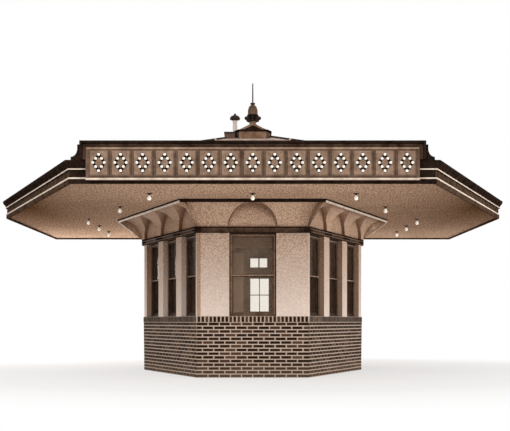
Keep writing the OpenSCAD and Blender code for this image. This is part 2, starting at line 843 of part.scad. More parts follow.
// Lamp panels, each with a lozenge channel for its bulbs round a raised middle
module sign_panels() {
  rim = 20;
  channel_w = 50;
  lift_z = 8;
  gap = (sign_w - panels * panel_w) / (panels + 1);
  z0 = sign_z + (sign_h - panel_h) / 2 + lift_z;
  half = [panel_w / 2 - rim, panel_h / 2 - rim];
  inner = 1 - channel_w * norm(half) / (half[0] * half[1]);
  module lozenge(k) {
    polygon([[-half[0] * k, 0], [0, -half[1] * k], [half[0] * k, 0], [0, half[1] * k]]);
  }
  color([0.8, 0.7, 0.56]) place()
    for (k = [0:panels - 1])
      translate([-sign_w / 2 + gap + k * (panel_w + gap) + panel_w / 2,
                 -over_front - sign_proj, z0 + panel_h / 2])
        rotate([90, 0, 0])
          linear_extrude(height = panel_proj) {
            difference() {
              square([panel_w, panel_h], center = true);
              lozenge(1);
            }
            lozenge(inner);
          }
}

module sign_consoles() {
  foot_rise = 50;
  head_rise = 70;
  head_w = crown_h + 55;
  top = crown_z + crown_h / 2 - eaves_z;
  hollow = [for (a = [0:10:90]) [console_w - (console_w - head_w) * sin(a),
                                 foot_rise + (top - head_rise - foot_rise) * (1 - cos(a))]];
  color([0.2, 0.15, 0.12]) place()
    for (side = [0:1])
      mirror([side, 0, 0])
        translate([sign_w / 2, -over_front, eaves_z])
          rotate([90, 0, 0])
            linear_extrude(height = cornice_proj)
              polygon(concat([[crown_h, 0], [console_w, 0]], hollow,
                             [[head_w, top], [crown_h, top]]));
}

lamp_x = half_w + lamp_side;
lamp_spots = [
  for (y = [-lamp_front, body_d + lamp_front]) for (k = [-1:1]) [k * lamp_pitch, y],
  for (side = [-1, 1]) [side * lamp_corner_x, lamp_corner_y],
  for (k = [0:2]) for (side = [-1, 1]) [side * lamp_x, lamp_row_y + k * lamp_row_pitch]
];
socket_h = 42;

module lamp_plates() {
  color([0.3, 0.25, 0.2]) place()
    for (p = lamp_spots)
      translate([p[0], p[1], soffit_z])
        mirror([0, 0, 1])
          rotate_extrude($fn = 24)
            polygon([[0, 0], [plate_r, 0], [plate_r * 0.9, 8], [plate_r * 0.4, 15],
                     [19, 20], [19, socket_h], [0, socket_h]]);
}

module lamp_bulbs() {
  color([0.97, 0.95, 0.9]) place()
    for (p = lamp_spots)
      translate([p[0], p[1], soffit_z - socket_h])
        mirror([0, 0, 1])
          rotate_extrude($fn = 24)
            polygon([[0, 0], [15, 0], [18, 14], for (a = [-50:20:90])
                     [bulb_r * cos(a), 14 + bulb_r + bulb_r * sin(a)]]);
}

floor();
dado_front();
dado_nose_left();
dado_nose_right();
dado_side_left();
dado_side_right();
dado_rear_left();
dado_rear_right();
piers_front();
piers_left();
piers_right();
piers_rear();
impost_band();
cove_front();
cove_nose_left();
cove_nose_right();
cove_side_left();
cove_side_right();
cove_rear();
cove_bead();
window_front();
windows_left();
windows_right();
windows_rear();
glass_front();
glass_left();
glass_right();
glass_rear();
door_frame();
transom_glass();
door_leaf();
door_glass();
door_knobs();
soffit();
foot_moulding();
frieze();
cornice();
roof();
hip_rolls();
cupola_curb();
cupola_cap();
finial();
vent_pipe();
sign_board();
sign_crown();
sign_panels();
sign_consoles();
lamp_plates();
lamp_bulbs();
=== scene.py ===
import math
import random

import bpy
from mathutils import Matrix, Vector


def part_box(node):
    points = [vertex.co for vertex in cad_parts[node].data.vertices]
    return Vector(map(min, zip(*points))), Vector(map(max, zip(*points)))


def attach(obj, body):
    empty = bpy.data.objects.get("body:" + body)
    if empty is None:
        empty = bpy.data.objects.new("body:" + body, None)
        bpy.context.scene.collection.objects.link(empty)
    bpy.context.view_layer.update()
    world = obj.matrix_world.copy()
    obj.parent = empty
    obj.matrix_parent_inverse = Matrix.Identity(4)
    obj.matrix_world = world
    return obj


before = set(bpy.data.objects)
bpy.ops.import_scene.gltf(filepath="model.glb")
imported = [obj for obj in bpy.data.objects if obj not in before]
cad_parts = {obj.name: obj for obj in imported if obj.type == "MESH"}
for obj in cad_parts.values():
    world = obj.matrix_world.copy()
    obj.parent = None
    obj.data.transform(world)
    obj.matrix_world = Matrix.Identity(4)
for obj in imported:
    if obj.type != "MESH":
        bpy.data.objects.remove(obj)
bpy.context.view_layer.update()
draw = random.Random(41)
print("frame loaded")

# Plan of the kiosk: side 0 is the front wall, then the sides run on to the right and round
kiosk = {
    "halfFront": 1.08,
    "noseAngle": 68.43,
    "sillCourse": 0.116,
    "windowWidth": 0.91,
    "revealDepth": 0.105,
    "doorMiddle": 0.17,  # from the middle of the rear wall
    "doorWidth": 0.8,
    "firstWindow": {"right": 0.07, "side": 0.36, "left": 0.2},
    "windowPitch": {"nose": 1.26, "side": 1.27},
}
overhang = {"front": 2.96, "slant": 2.91, "side": 3.04, "rear": 2.95}
coveRun = {"front": 0.42, "slant": 0.42, "side": 0.61, "rear": 0.42}
sideKinds = ["front", "slant", "side", "rear", "side", "slant"]

halfFront, windowWidth, revealDepth = kiosk["halfFront"], kiosk["windowWidth"], kiosk["revealDepth"]
noseAngle = math.radians(kiosk["noseAngle"])
noseCos, noseSin = math.cos(noseAngle), math.sin(noseAngle)
frontY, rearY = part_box("piers_front")[0].y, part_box("piers_rear")[1].y
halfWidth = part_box("piers_right")[1].x
sillTop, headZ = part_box("piers_front")[0].z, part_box("piers_front")[1].z
dadoTop = sillTop - kiosk["sillCourse"]
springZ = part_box("impost_band")[1].z
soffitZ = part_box("soffit")[0].z
eavesZ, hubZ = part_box("cornice")[1].z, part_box("roof")[1].z


def planCorners(front, slant, side, rear):
    # Corners of the kiosk's plan with each wall moved out by its own distance
    frontX = halfFront + (slant - front * noseCos) / noseSin
    sideX = halfWidth + side
    run = (sideX - halfFront - slant * noseSin) / noseCos
    sideY = frontY + run * noseSin - slant * noseCos
    y0, y1 = frontY - front, rearY + rear
    points = [(-frontX, y0), (frontX, y0), (sideX, sideY), (sideX, y1), (-sideX, y1), (-sideX, sideY)]
    return [Vector(p) for p in points]


def kioskLine(out):
    return planCorners(out, out, out, out)


def canopyLine(out):
    return planCorners(*(value + out for value in overhang.values()))


def coveLine(out):
    return planCorners(*(value + out for value in coveRun.values()))


walls = kioskLine(0)


def along(i):
    return (walls[(i + 1) % 6] - walls[i]).normalized()


def inward(i):
    d = along(i)
    return Vector((-d.y, d.x))


def sideLen(i):
    return (walls[(i + 1) % 6] - walls[i]).length


def onWall(i, u, out, z):
    p = walls[i] + along(i) * u - inward(i) * out
    return Vector((p.x, p.y, z))


def mitre(i, end):
    # How far a face that stands out by 1 runs past the corner at this end of the side
    j = (i + 1) % 6 if end else (i - 1) % 6
    return math.tan(along(i).angle(along(j)) / 2)


def windowRow(first, kind, count):
    return [kiosk["firstWindow"][first] + k * kiosk["windowPitch"][kind] for k in range(count)]


# Where the door and each window start along their walls
doorWidth = kiosk["doorWidth"]
doorStart = halfWidth - kiosk["doorMiddle"] - doorWidth / 2
doorEnd = doorStart + doorWidth
windowStarts = {
    0: [halfFront - windowWidth / 2],
    1: windowRow("right", "nose", 3),
    2: windowRow("side", "side", 2),
    3: [(doorStart - windowWidth) / 2, doorEnd + (2 * halfWidth - doorEnd - windowWidth) / 2],
    4: windowRow("side", "side", 2),
    5: windowRow("left", "nose", 3),
}


# Colours are written as they should look, 0 to 255
def tone(r, g, b):
    def channel(v):
        v /= 255
        return v / 12.92 if v <= 0.04045 else ((v + 0.055) / 1.055) ** 2.4

    return (channel(r), channel(g), channel(b), 1)


class Paint:
    # Small helper that grows a node tree round one Principled shader
    def __init__(self, name):
        self.material = bpy.data.materials.new(name)
        self.material.use_nodes = True
        self.tree = self.material.node_tree
        self.shader = self.tree.nodes["Principled BSDF"]
        self.place = self.tree.nodes.new("ShaderNodeTexCoord").outputs["Object"]

    def plug(self, made, inputs):
        # An output is linked to its socket, a number or colour is set on it
        for key, value in inputs.items():
            if isinstance(value, bpy.types.NodeSocket):
                self.tree.links.new(value, made.inputs[key])
            else:
                made.inputs[key].default_value = value

    def node(self, kind, inputs=None, **values):
        made = self.tree.nodes.new(kind)
        for key, value in values.items():
            setattr(made, key, value)
        self.plug(made, inputs or {})
        return made

    def noise(self, scale, detail=4, rough=0.6, stretch=(1, 1, 1)):
        place = self.place
        if stretch != (1, 1, 1):
            place = self.node("ShaderNodeMapping", {"Vector": place, "Scale": stretch}).outputs[0]
        return self.node(
            "ShaderNodeTexNoise",
            {"Vector": place, "Scale": scale, "Detail": detail, "Roughness": rough},
        ).outputs["Fac"]

    def ramp(self, value, stops):
        made = self.node("ShaderNodeValToRGB", {"Fac": value})
        while len(made.color_ramp.elements) < len(stops):
            made.color_ramp.elements.new(0.5)
        for element, (at, colour) in zip(made.color_ramp.elements, stops):
            element.position = at
            element.color = colour if len(colour) == 4 else (colour[0],) * 3 + (1,)
        return made.outputs["Color"]

    def mix(self, amount, first, second, how="MIX"):
        inputs = {0: amount, 6: first, 7: second}
        return self.node("ShaderNodeMix", inputs, data_type="RGBA", blend_type=how).outputs[2]

    def maths(self, how, first, second=0.5, clamp=True):
        return self.node("ShaderNodeMath", {0: first, 1: second}, operation=how, use_clamp=clamp).outputs[0]

    def between(self, value, low, high, first=0.0, last=1.0):
        # The first number at or below low, the last one at or above high
        limits = {"Value": value, "From Min": low, "From Max": high, "To Min": first, "To Max": last}
        return self.node("ShaderNodeMapRange", limits).outputs[0]

    def height(self, low, high):
        z = self.node("ShaderNodeSeparateXYZ", {"Vector": self.place}).outputs["Z"]
        return self.between(z, low, high)

    def finish(self, colour, rough=0.8, bump=None, depth=0.002, strength=1.0, metal=0.0, gloss=0.3):
        self.plug(self.shader, {"Base Color": colour, "Roughness": rough, "Metallic": metal})
        self.shader.inputs["Specular IOR Level"].default_value = gloss
        if bump is not None:
            made = self.node("ShaderNodeBump", {"Height": bump, "Distance": depth, "Strength": strength})
            self.tree.links.new(made.outputs[0], self.shader.inputs["Normal"])
        return self.material


print("making finishes")

# Rough plaster and stucco: the two ends of its grain, a paler tone low on the wall that is painted light,
# stains, painted shade on the soffit's sides and in the lunettes' hollows
plasterLooks = {
    "stucco": dict(
        dark=(162, 133, 112), light=(215, 190, 171), foot=(240, 228, 219), grain=46, depth=0.005,
        stain=0.22, gloss=0.15,
    ),
    "revealStucco": dict(
        dark=(132, 100, 80), light=(190, 156, 132), foot=(182, 157, 138), grain=46, depth=0.005,
        stain=0.2, gloss=0.15,
    ),
    "covePlaster": dict(
        dark=(168, 135, 111), light=(226, 196, 171), foot=(198, 168, 143), grain=42, depth=0.006,
        stain=0.35, gloss=0.15, hollow=0.65,
    ),
    # Painted shade: a darker copy of the cove plaster for the slanted, side and rear coves and the plaster
    # feet
    "shadedCovePlaster": dict(
        dark=(150, 119, 97), light=(208, 177, 152), foot=(198, 168, 143), grain=42, depth=0.006,
        stain=0.35, gloss=0.1, hollow=0.8,
    ),
    "soffitPlaster": dict(
        dark=(146, 113, 90), light=(230, 198, 172), foot=(150, 120, 96), grain=34, depth=0.008,
        stain=0.3, gloss=0.0, stretch=(1, 0.28, 1), sideShade=1.0,
    ),
}
# Stain tone, the painted shade on the soffit's sides and the painted shade in the lunettes' hollows
plasterWear = {
    "stain": (118, 94, 76),
    "sideShadeTone": (134, 114, 92),
    "sideShadeAcross": (0.9, 4.5),  # from the middle line to the sides
    "sideShadeAlong": (-2.0, 4.5),  # from the front to the back, where little of the painted shade is left
    "sideShadeBehind": 0.21,
    "dustTone": (150, 120, 98),
    "dustReach": 0.24,
}


def plaster(name):
    look, wear = plasterLooks[name], plasterWear
    paint = Paint(name)
    grain = paint.noise(look["grain"], 3, 0.6, look.get("stretch", (1, 1, 1)))
    body = paint.ramp(grain, [(0.38, tone(*look["dark"])), (0.6, tone(*look["light"]))])
    cloud = paint.ramp(paint.noise(1.3, 5, 0.62), [(0.35, (1,)), (0.62, (0,))])
    soiled = paint.mix(0.5, body, tone(*wear["stain"]), "MULTIPLY")
    body = paint.mix(paint.maths("MULTIPLY", cloud, look["stain"]), body, soiled)
    # Painted light: the walls are paler towards their foot and darker up under the canopy
    low = paint.maths("SUBTRACT", 1.0, paint.height(sillTop, headZ))
    body = paint.mix(paint.maths("MULTIPLY", low, 0.6), body, tone(*look["foot"]))
    if "sideShade" in look:
        # Painted light and shade: the soffit is darkened towards its sides, less so at the back, so that its
        # middle reads lighter
        place = paint.node("ShaderNodeSeparateXYZ", {"Vector": paint.place})
        away = paint.maths("ABSOLUTE", place.outputs["X"], clamp=False)
        aside = paint.between(away, *wear["sideShadeAcross"])
        behind = paint.between(place.outputs["Y"], *wear["sideShadeAlong"], 1.0, wear["sideShadeBehind"])
        outer = paint.maths("MULTIPLY", paint.maths("POWER", aside, 2.0), behind)
        sideShaded = paint.mix(1.0, body, tone(*wear["sideShadeTone"]), "MULTIPLY")
        body = paint.mix(paint.maths("MULTIPLY", outer, look["sideShade"]), body, sideShaded)
    if "hollow" in look:
        # Painted shade: the hollows of the lunettes are darkened where ambient occlusion finds them
        nook = paint.node("ShaderNodeAmbientOcclusion", {"Distance": wear["dustReach"]}, samples=8)
        shade = paint.ramp(nook.outputs["AO"], [(0.45, (1,)), (0.92, (0,))])
        hollowShaded = paint.mix(1.0, body, tone(*wear["dustTone"]), "MULTIPLY")
        body = paint.mix(paint.maths("MULTIPLY", shade, look["hollow"]), body, hollowShaded)
    fine = paint.noise(look["grain"] * 4, 3, 0.7)
    rub = paint.maths("ADD", paint.maths("MULTIPLY", grain, 0.75), paint.maths("MULTIPLY", fine, 0.25))
    return paint.finish(body, 0.92, rub, look["depth"], 0.9, gloss=look["gloss"])


# Oil paint on wood and sheet metal, worn and dusty
paintLooks = {
    "darkTrim": dict(dark=(20, 13, 10), light=(50, 37, 30), dust=(92, 72, 58), rough=0.8, gloss=0.0),
    "friezeBrown": dict(dark=(40, 28, 21), light=(92, 72, 58), dust=(124, 100, 82), rough=0.8, gloss=0.0),
    "creamTrim": dict(
        dark=(186, 165, 147), light=(232, 217, 203), dust=(170, 146, 126), rough=0.6, gloss=0.2,
    ),
    "tanTrim": dict(dark=(104, 80, 63), light=(142, 115, 95), dust=(170, 146, 126), rough=0.65, gloss=0.15),
    "bandTrim": dict(dark=(52, 37, 27), light=(102, 80, 64), dust=(140, 116, 98), rough=0.7, gloss=0.1),
    "beadTan": dict(dark=(150, 120, 97), light=(204, 176, 153), dust=(230, 212, 196), rough=0.65, gloss=0.15),
    "joinery": dict(dark=(40, 28, 21), light=(78, 59, 47), dust=(128, 104, 87), rough=0.55, gloss=0.15),
    "frontJoinery": dict(
        dark=(70, 51, 39), light=(120, 95, 77), dust=(150, 126, 107), rough=0.55, gloss=0.15,
    ),
    "signGround": dict(dark=(84, 64, 51), light=(126, 101, 84), dust=(150, 126, 107), rough=0.7, gloss=0.12),
    "signPanels": dict(dark=(112, 89, 72), light=(156, 130, 110), dust=(84, 64, 51), rough=0.65, gloss=0.15),
    "curbPaint": dict(dark=(92, 67, 51), light=(140, 111, 90), dust=(74, 54, 42), rough=0.75, gloss=0.12),
}


def oilPaint(name):
    look = paintLooks[name]
    paint = Paint(name)
    worn = paint.noise(7, 6, 0.68)
    body = paint.ramp(worn, [(0.34, tone(*look["dark"])), (0.68, tone(*look["light"]))])
    specks = paint.ramp(paint.noise(60, 3, 0.8), [(0.6, (0,)), (0.72, (1,))])
    body = paint.mix(paint.maths("MULTIPLY", specks, 0.45), body, tone(*look["dust"]))
    rough = paint.maths("ADD", paint.maths("MULTIPLY", worn, 0.3), look["rough"] - 0.12)
    return paint.finish(body, rough, paint.noise(90, 4, 0.6), 0.0012, 0.6, gloss=look["gloss"])


# Each brick carries its own shade, from 0 to 1; damp rises from the ground
brickLook = {"deep": (20, 13, 10), "middle": (42, 30, 23), "pale": (88, 66, 52), "burnt": (74, 55, 44),
             "damp": (120, 101, 87), "dampTop": 0.35}
mortarLook = {"dark": (166, 143, 125), "light": (218, 198, 182), "damp": (150, 128, 110), "dampTop": 0.5}
floorLook = {"dark": (136, 120, 106), "light": (176, 160, 144)}


def brickClay():
    paint = Paint("brickClay")
    own = paint.node("ShaderNodeAttribute", attribute_name="shade").outputs["Fac"]
    shades = [(0.0, "deep"), (0.7, "middle"), (1.0, "pale")]
    body = paint.ramp(own, [(at, tone(*brickLook[name])) for at, name in shades])
    burnt = paint.ramp(paint.noise(24, 6, 0.7), [(0.35, (0,)), (0.7, (1,))])
    body = paint.mix(paint.maths("MULTIPLY", burnt, 0.3), body, tone(*brickLook["burnt"]))
    damp = paint.maths("SUBTRACT", 1.0, paint.height(0.0, brickLook["dampTop"]))
    body = paint.mix(paint.maths("MULTIPLY", damp, 0.4), body, tone(*brickLook["damp"]))
    return paint.finish(body, 0.88, paint.noise(120, 5, 0.7), 0.0025, 0.9, gloss=0.04)


def mortarBed():
    paint, look = Paint("mortar"), mortarLook
    body = paint.ramp(paint.noise(70, 5, 0.7), [(0.3, tone(*look["dark"])), (0.7, tone(*look["light"]))])
    damp = paint.maths("SUBTRACT", 1.0, paint.height(0.0, look["dampTop"]))
    body = paint.mix(paint.maths("MULTIPLY", damp, 0.3), body, tone(*look["damp"]))
    return paint.finish(body, 0.95, paint.noise(150, 4, 0.7), 0.003, 0.8, gloss=0.0)


def concrete():
    paint, look = Paint("concreteFloor"), floorLook
    body = paint.ramp(paint.noise(14, 7, 0.7), [(0.3, tone(*look["dark"])), (0.7, tone(*look["light"]))])
    return paint.finish(body, 0.9, paint.noise(80, 5, 0.7), 0.003, 0.7, gloss=0.2)


# Sheet metals: roof sheets, dark roof iron, galvanised flue, lamp iron and brass
metalLooks = {
    "roofSheets": dict(
        dark=(166, 144, 132), light=(212, 190, 179), rust=(132, 98, 76), metal=0.0, rough=0.75,
    ),
    "roofIron": dict(dark=(30, 22, 18), light=(68, 53, 44), rust=(104, 76, 58), metal=0.1, rough=0.7),
    "capSheets": dict(dark=(72, 55, 44), light=(122, 98, 81), rust=(58, 40, 30), metal=0.1, rough=0.7),
    "ventIron": dict(dark=(70, 53, 42), light=(108, 86, 71), rust=(62, 44, 34), metal=0.1, rough=0.7),
    "galvanised": dict(
        dark=(168, 156, 146), light=(214, 203, 194), rust=(126, 100, 80), metal=0.35, rough=0.5,
    ),
    "lampIron": dict(dark=(34, 25, 20), light=(66, 51, 42), rust=(96, 72, 56), metal=0.2, rough=0.6),
    "brass": dict(dark=(120, 92, 58), light=(186, 152, 98), rust=(84, 64, 44), metal=0.9, rough=0.32),
}


def sheetMetal(name):
    look = metalLooks[name]
    paint = Paint(name)
    cloud = paint.noise(5, 6, 0.65)
    body = paint.ramp(cloud, [(0.32, tone(*look["dark"])), (0.68, tone(*look["light"]))])
    runs = paint.ramp(paint.noise(9, 5, 0.7, (3, 3, 0.5)), [(0.56, (0,)), (0.74, (1,))])
    body = paint.mix(paint.maths("MULTIPLY", runs, 0.5), body, tone(*look["rust"]))
    rough = paint.maths("ADD", paint.maths("MULTIPLY", cloud, 0.3), look["rough"] - 0.12)
    return paint.finish(body, rough, paint.noise(40, 4, 0.6), 0.002, 0.5, look["metal"], 0.12)


# Old window glass: its tint, a film of colour mixed over it and how much of that shows
glassLooks = {
    "windowGlass": dict(tint=(226, 218, 208), low=(60, 46, 38), film=(96, 77, 64), dust=0.03, cloud=0.06),
    # The front glass gets a pale film that brightens it
    "frontGlass": dict(
        tint=(253, 251, 248), low=(206, 176, 150), film=(240, 214, 190), dust=0.07, cloud=0.04,
    ),
    "doorGlass": dict(tint=(255, 255, 254), low=(206, 196, 186), film=(230, 220, 210), dust=0.0, cloud=0.01),
}


def windowGlass(name):
    look = glassLooks[name]
    paint = Paint(name)
    clear = paint.node("ShaderNodeBsdfTransparent", {"Color": tone(*look["tint"])}).outputs[0]
    film = paint.noise(6, 4, 0.6)
    body = paint.ramp(film, [(0.3, tone(*look["low"])), (0.7, tone(*look["film"]))])
    paint.finish(body, 0.12, paint.noise(2.4, 2, 0.4), 0.01, 0.25, gloss=0.4)
    amount = paint.maths("ADD", paint.maths("MULTIPLY", film, look["cloud"]), look["dust"])
    fresnel = paint.node("ShaderNodeFresnel", {"IOR": 1.3}).outputs[0]
    amount = paint.maths("ADD", amount, fresnel)
    joined = paint.node("ShaderNodeMixShader", {0: amount, 1: clear, 2: paint.shader.outputs[0]})
    paint.tree.links.new(joined.outputs[0], paint.tree.nodes["Material Output"].inputs[0])
    return paint.material


# Lamp bulbs: the two ends of their milky glass and the tone of the faint glow painted on them, though they
# are not lit
bulbLook = {"dark": (236, 230, 220), "light": (252, 249, 243), "glow": (255, 246, 232)}


def bulbGlass(name, glow):
    paint, look = Paint(name), bulbLook
    body = paint.ramp(paint.noise(30, 3, 0.5), [(0.3, tone(*look["dark"])), (0.7, tone(*look["light"]))])
    paint.finish(body, 0.22, None, gloss=0.5)
    paint.shader.inputs["Emission Color"].default_value = tone(*look["glow"])
    paint.shader.inputs["Emission Strength"].default_value = glow
    return paint.material


finishes = {name: plaster(name) for name in plasterLooks}
finishes.update({name: oilPaint(name) for name in paintLooks})
finishes.update({name: sheetMetal(name) for name in metalLooks})
finishes.update({name: windowGlass(name) for name in glassLooks})
finishes.update(
    brickClay=brickClay(),
    mortar=mortarBed(),
    concreteFloor=concrete(),
    # Painted light: a faint glow on the unlit lamp and sign bulbs makes them read bright
    bulbGlass=bulbGlass("bulbGlass", 0.4),
    signBulbGlass=bulbGlass("signBulbGlass", 0.05),
)

nodeFinishes = {
    "concreteFloor": ["floor"],
    "mortar": ["dado_"],
    "stucco": ["piers_"],
    "bandTrim": ["impost_band"],
    "darkTrim": ["foot_moulding", "frieze", "cornice", "sign_crown", "sign_consoles"],
    "covePlaster": ["cove_front"],
    "shadedCovePlaster": ["cove_nose_", "cove_side_", "cove_rear"],
    "creamTrim": ["cove_bead"],
    "soffitPlaster": ["soffit"],
    "joinery": ["windows_", "door_frame", "door_leaf"],
    "frontJoinery": ["window_front"],
    "frontGlass": ["glass_front"],
    "windowGlass": ["glass_left", "glass_right", "glass_rear"],
    "doorGlass": ["transom_glass", "door_glass"],
    "brass": ["door_knobs"],
    "roofSheets": ["roof"],
    "capSheets": ["cupola_cap"],
    "roofIron": ["hip_rolls", "finial"],
    "curbPaint": ["cupola_curb"],
    "galvanised": ["vent_pipe"],
    "signGround": ["sign_board"],
    "signPanels": ["sign_panels"],
    "lampIron": ["lamp_plates"],
    "bulbGlass": ["lamp_bulbs"],
}


# Nodes whose round faces are shaded smooth
turnedNodes = ["finial", "lamp_plates", "lamp_bulbs", "vent_pipe", "door_knobs", "hip_rolls"]


def dressNodes():
    for finish, starts in nodeFinishes.items():
        for name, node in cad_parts.items():
            exact = name in starts
            if exact or any(name.startswith(s) for s in starts if s.endswith("_")):
                node.data.materials.clear()
                node.data.materials.append(finishes[finish])
    for name in turnedNodes:
        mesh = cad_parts[name].data
        mesh.polygons.foreach_set("use_smooth", [True] * len(mesh.polygons))
        sharpEdges(mesh)


def alsoFinish(name, finish, where):
    # A further finish on the faces of a node for which where(centre, normal) holds
    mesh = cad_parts[name].data
    mesh.materials.append(finishes[finish])
    for face in mesh.polygons:
        if where(face.center, face.normal):
            face.material_index = len(mesh.materials) - 1


def standsOut(c):
    # How far a point lies outside the walls
    return max(-(c.xy - walls[i]).dot(inward(i)) for i in range(6))


# Where one node changes its finish, in metres from the edge that is named
partEdges = {
    "coveFront": 0.35,  # in front of the front wall
    "capital": 0.034,  # outside the walls
    "sidesBehind": 2.9,  # in front of the front wall
    "crownLip": 0.05,
    "capCornice": 0.042,
    "capFront": 0.396,  # behind the front wall
    "finialBell": (0.155, 0.35),
    "flue": 1.6,  # behind the front wall
    "boxLid": 0.031,
    "flueHood": 0.165,
    "cornerReveal": 0.25,
}
pierSides = {"piers_front": [0], "piers_right": [1, 2], "piers_rear": [3], "piers_left": [4]}


def dressParts():
    at = partEdges
    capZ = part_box("cupola_cap")[0].z + at["capCornice"]
    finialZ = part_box("finial")[0].z
    bellLow, bellHigh = (finialZ + rise for rise in at["finialBell"])
    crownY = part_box("sign_crown")[0].y + at["crownLip"]
    coveY, sidesY, capY = frontY - at["coveFront"], frontY - at["sidesBehind"], frontY + at["capFront"]
    flueY = frontY + at["flue"]
    lidZ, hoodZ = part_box("cupola_curb")[1].z - at["boxLid"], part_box("vent_pipe")[1].z - at["flueHood"]
    alsoFinish("cove_bead", "darkTrim", lambda c, n: c.y < coveY)
    alsoFinish("impost_band", "darkTrim", lambda c, n: standsOut(c) > at["capital"])
    alsoFinish("cupola_cap", "darkTrim", lambda c, n: c.z < capZ)
    alsoFinish("cupola_cap", "darkTrim", lambda c, n: c.z > capZ and n.y < -0.9)
    alsoFinish("frieze", "friezeBrown", lambda c, n: c.y > sidesY)
    alsoFinish("door_leaf", "darkTrim", lambda c, n: n.y < 0.3)
    alsoFinish("foot_moulding", "friezeBrown", lambda c, n: c.y > sidesY or n.z < -0.5)
    alsoFinish("sign_crown", "friezeBrown", lambda c, n: c.y > crownY and n.y < -0.1)
    alsoFinish("cupola_cap", "tanTrim", lambda c, n: c.z > capZ and c.y < capY)
    alsoFinish("cupola_curb", "ventIron", lambda c, n: abs(n.x) > 0.5)
    # Painted highlight: the bell of the finial takes the paler cap finish
    alsoFinish("finial", "capSheets", lambda c, n: bellLow < c.z < bellHigh)
    alsoFinish("vent_pipe", "ventIron", lambda c, n: c.y < flueY)
    alsoFinish("vent_pipe", "roofIron", lambda c, n: c.y < flueY and c.z > lidZ)
    alsoFinish("vent_pipe", "roofIron", lambda c, n: c.y > flueY and c.z > hoodZ)
    for name, sides in pierSides.items():
        alsoFinish(name, "revealStucco", lambda c, n: isReveal(n, sides))
    cornerX = at["cornerReveal"] - halfWidth
    alsoFinish("piers_left", "revealStucco", lambda c, n: isReveal(n, [5]) and c.x < cornerX)


def isReveal(normal, sides):
    return any(abs(normal.xy.dot(along(i))) > 0.99 for i in sides)


def sharpEdges(mesh):
    # An edge stays sharp where its two faces turn by more than 35 degrees
    sharp = mesh.attributes.get("sharp_edge") or mesh.attributes.new("sharp_edge", "BOOLEAN", "EDGE")
    normals = {}
    for face in mesh.polygons:
        for key in face.edge_keys:
            normals.setdefault(key, []).append(face.normal.copy())
    for edge in mesh.edges:
        found = normals.get(tuple(sorted(edge.vertices)), [])
        turned = len(found) == 2 and found[0].angle(found[1], 0) > math.radians(35)
        sharp.data[edge.index].value = turned or len(found) != 2


dressNodes()
dressParts()
print("nodes dressed")


class Heap:
    # Gathers many small closed solids into one piece
    def __init__(self):
        self.points, self.faces, self.shades = [], [], []

    def rings(self, rings, shade=0.5):
        # Closed solid through rings of the same count, capped at both ends, its faces looking outwards
        n, base = len(rings[0]), len(self.points)
        for ring in rings:
            self.points += list(ring)
        self.shades += [shade] * (n * len(rings))
        faces = [[base + k for k in reversed(range(n))]]
        for r in range(len(rings) - 1):
            for k in range(n):
                a, b = base + r * n + k, base + r * n + (k + 1) % n
                faces.append([a, b, b + n, a + n])
        last = base + (len(rings) - 1) * n
        faces.append([last + k for k in range(n)])
        inside = self.volume(faces) < 0
        self.faces += [face[::-1] for face in faces] if inside else faces

    def volume(self, faces):
        start, total = self.points[faces[0][0]], 0
        for face in faces:
            corners = [self.points[k] - start for k in face]
            for second, third in zip(corners[1:], corners[2:]):
                total += corners[0].dot(second.cross(third))
        return total

    def box(self, low, high):
        x0, y0, z0 = low
        x1, y1, z1 = high
        self.prism([Vector(p) for p in ((x0, y0, z0), (x1, y0, z0), (x1, y1, z0), (x0, y1, z0))], z1)

    def prism(self, lower, top, shade=0.5):
        self.rings([lower, [Vector((p.x, p.y, top)) for p in lower]], shade)

    def block(self, i, u0, u1, out0, out1, z0, z1, shade=0.5):
        # Block on wall i: from u0 to u1 along it, from out0 to out1 in front of it
        self.prism([onWall(i, u0, out0, z0), onWall(i, u1, out0, z0),
                    onWall(i, u1, out1, z0), onWall(i, u0, out1, z0)], z1, shade)

    def bar(self, start, end, across, up):
        # Straight bar from start to end; across and up are its half width and its full rise
        self.rings([[p - across, p + across, p + across + up, p - across + up] for p in (start, end)])

    def turned(self, centre, axis, profile, count):
        # Turned solid: profile is (radius, distance) pairs along the axis
        axis = axis.normalized()
        side = axis.orthogonal().normalized()
        other = axis.cross(side)
        rings = []
        for radius, distance in profile:
            middle = centre + axis * distance
            turn = [2 * math.pi * k / count for k in range(count)]
            rings.append([middle + (side * math.cos(t) + other * math.sin(t)) * radius for t in turn])
        self.rings(rings)

    def tube(self, line, radius, count, reference):
        # Round rod along a bent line; the reference direction is never along the line
        rings = []
        for k, point in enumerate(line):
            ahead = (line[min(k + 1, len(line) - 1)] - line[max(k - 1, 0)]).normalized()
            side = ahead.cross(Vector((reference.x, reference.y, 0))).normalized()
            other = ahead.cross(side)
            turn = [2 * math.pi * n / count for n in range(count)]
            rings.append([point + (side * math.cos(t) + other * math.sin(t)) * radius for t in turn])
        self.rings(rings)

    def make(self, name, finish, slot, body="building", smooth=False):
        mesh = bpy.data.meshes.new(name)
        mesh.from_pydata([tuple(p) for p in self.points], [], self.faces)
        mesh.update()
        mesh.attributes.new("shade", "FLOAT", "POINT").data.foreach_set("value", self.shades)
        if smooth:
            mesh.polygons.foreach_set("use_smooth", [True] * len(mesh.polygons))
        mesh.materials.append(finishes[finish])
        obj = bpy.data.objects.new(name, mesh)
        bpy.context.scene.collection.objects.link(obj)
        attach(obj, body)


def sweep(heap, line, profile, sides=range(6)):
    # Moulding along sides of the plan, mitred at the corners; line(out) gives the corners
    corners = [line(out) for out, z in profile]
    for i in sides:
        ends = []
        for j in (i, (i + 1) % 6):
            ends.append([Vector((c[j].x, c[j].y, z)) for c, (out, z) in zip(corners, profile)])
        heap.rings(ends)


